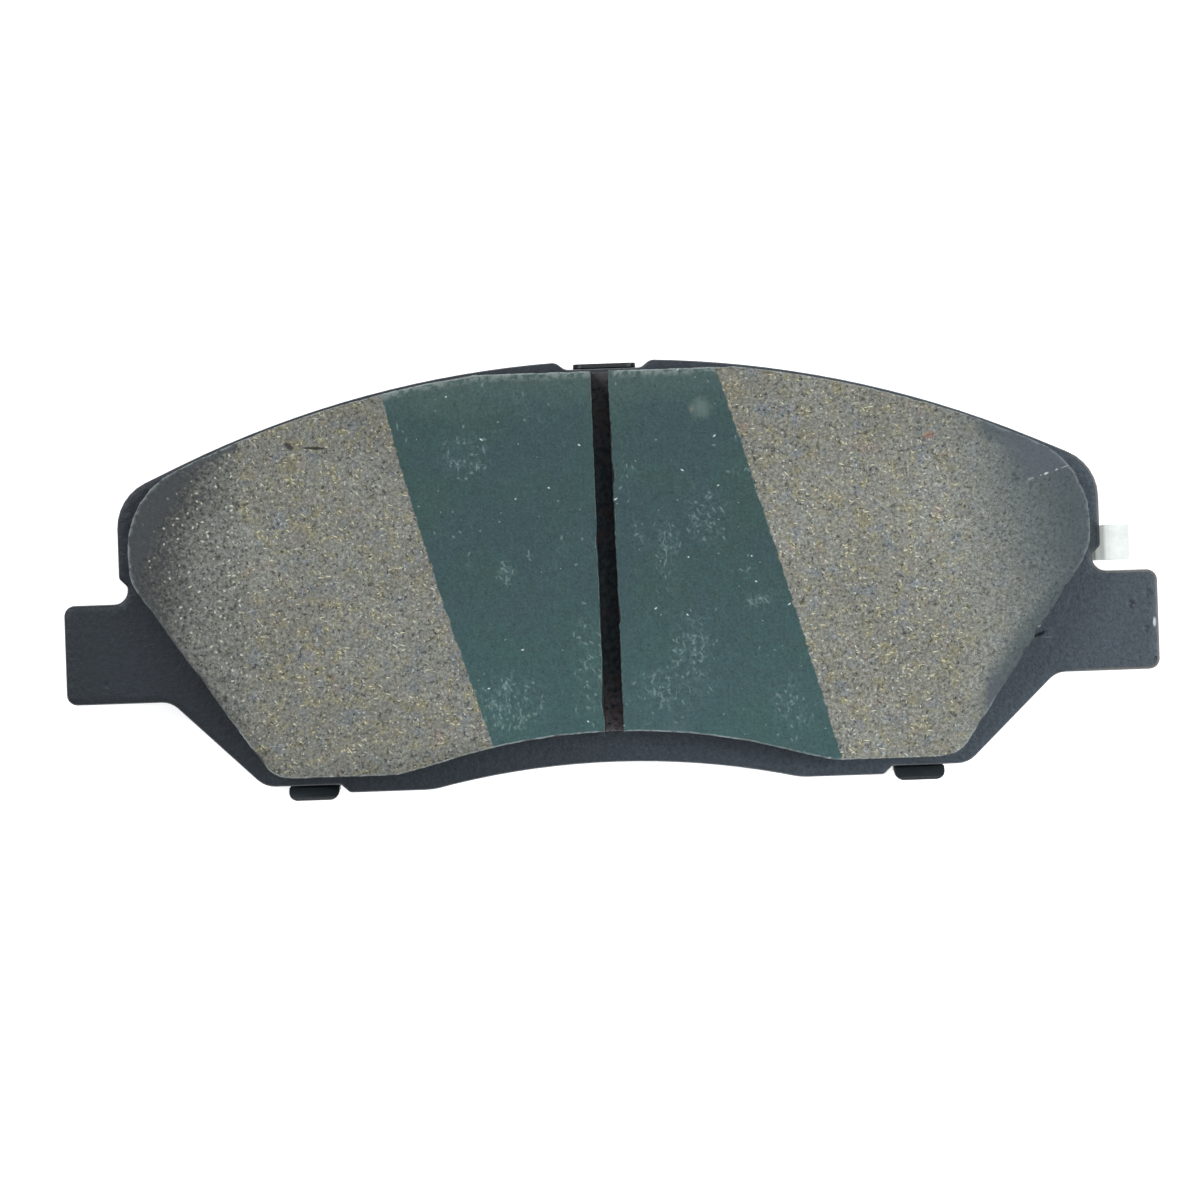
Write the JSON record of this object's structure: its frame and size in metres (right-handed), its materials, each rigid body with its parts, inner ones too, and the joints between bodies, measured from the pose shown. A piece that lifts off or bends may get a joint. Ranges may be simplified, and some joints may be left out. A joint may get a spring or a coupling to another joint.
{
  "type": "disc brake pad",
  "caption": "Disc brake pad: eared steel backing plate, slotted and chamfered friction blocks, clipped noise shim and a riveted wear indicator.",
  "frame": {"origin": "below the middle of the whole pad, on the plane of the outer shim's back face that the pad lies on", "axes": "+X along the ears (the way the rotor runs), +Y radially outwards from the wheel's centre, +Z from the shim towards the rotor, out of the friction face"},
  "size_m": [0.1642, 0.0645, 0.0175],
  "materials": {
    "coated_steel": "satin black powder coat",
    "underlayer_compound": "dull moulded friction underlayer",
    "friction_compound_left": "ground friction compound with fibres and a painted stripe",
    "friction_compound_right": "ground friction compound with fibres and a painted stripe",
    "shim_adhesive": "pressure-sensitive adhesive film",
    "inner_shim_steel": "rolled steel sheet",
    "shim_rubber": "matte rubber film",
    "outer_shim_steel": "rubber-coated steel sheet with bare sheared edges",
    "indicator_steel": "bright zinc-plated spring steel",
    "rivet_steel": "zinc-plated steel"
  },
  "bodies": {
    "root": {"backing_plate": "coated_steel", "underlayer": "underlayer_compound", "friction_block_left": "friction_compound_left", "friction_block_right": "friction_compound_right", "adhesive_layer": "shim_adhesive", "inner_shim": "inner_shim_steel", "damping_layer": "shim_rubber", "outer_shim": "outer_shim_steel", "wear_indicator": "indicator_steel", "wear_indicator_rivet": "rivet_steel"}
  },
  "joints": []
}
